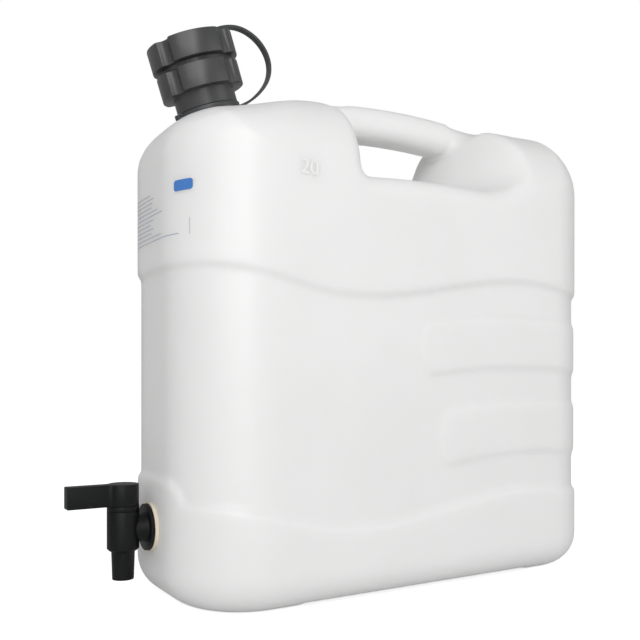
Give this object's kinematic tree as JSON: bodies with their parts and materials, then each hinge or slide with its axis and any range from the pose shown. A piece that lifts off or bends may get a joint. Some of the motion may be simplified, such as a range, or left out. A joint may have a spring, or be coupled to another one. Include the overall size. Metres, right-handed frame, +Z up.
{
  "type": "carboy with spigot",
  "caption": "Rectangular translucent plastic carboy with a built-in top handle, a tilted screw closure held by a strap, and a lever tap low on the front wall.",
  "frame": {"origin": "centre of the canister's base in plan, at the height of its two feet, on the floor", "axes": "+Z up, -X towards the tap and the closure, Y across the canister"},
  "size_m": [0.4682, 0.18, 0.46],
  "materials": {
    "canister_plastic": "translucent milky white, satin",
    "closure_plastic": "dark grey, satin",
    "strap_plastic": "dark grey, soft, satin",
    "tap_plastic": "near black, satin",
    "gasket_rubber": "beige, matt",
    "seal_rubber": "black, matt"
  },
  "bodies": {
    "canister": {"canister_body": "canister_plastic", "tap_body": "tap_plastic", "tap_gasket": "gasket_rubber", "tap_lock_nut": "tap_plastic"},
    "tap_turn": {"tap_lever": "tap_plastic", "tap_plug": "tap_plastic", "plug_o_ring": "seal_rubber"},
    "adapter_carrier": {"neck_gasket": "seal_rubber"},
    "adapter": {"neck_adapter": "closure_plastic", "cap_strap": "strap_plastic"},
    "cap_carrier": {"cap_liner": "seal_rubber"},
    "cap": {"closure_cap": "closure_plastic"}
  },
  "joints": [
    {"name": "tap_turn", "type": "hinge", "parent": "canister", "child": "tap_turn", "pos_m": [-0.2237, 0, 0.077], "axis": [0, 0, 1], "range_deg": [0, 90]},
    {"name": "adapter_rise", "type": "slide", "parent": "canister", "child": "adapter_carrier", "axis": [-0.3107, 0, 0.9505], "range_m": [0, 0.00902]},
    {"name": "adapter_spin", "type": "hinge", "parent": "adapter_carrier", "child": "adapter", "pos_m": [-0.15951, 0, 0.40271], "axis": [-0.3107, 0, 0.9505], "range_deg": [0, 540]},
    {"name": "cap_rise", "type": "slide", "parent": "adapter", "child": "cap_carrier", "axis": [-0.3107, 0, 0.9505], "range_m": [0, 0.00902], "deforming": ["cap_strap"]},
    {"name": "cap_spin", "type": "hinge", "parent": "cap_carrier", "child": "cap", "pos_m": [-0.16821, 0, 0.42932], "axis": [-0.3107, 0, 0.9505], "range_deg": [0, 540]}
  ],
  "couplings": [
    {"joint": "adapter_rise", "follows": "adapter_spin", "m_per_rad": 0.00095493},
    {"joint": "cap_rise", "follows": "cap_spin", "m_per_rad": 0.00095493}
  ]
}
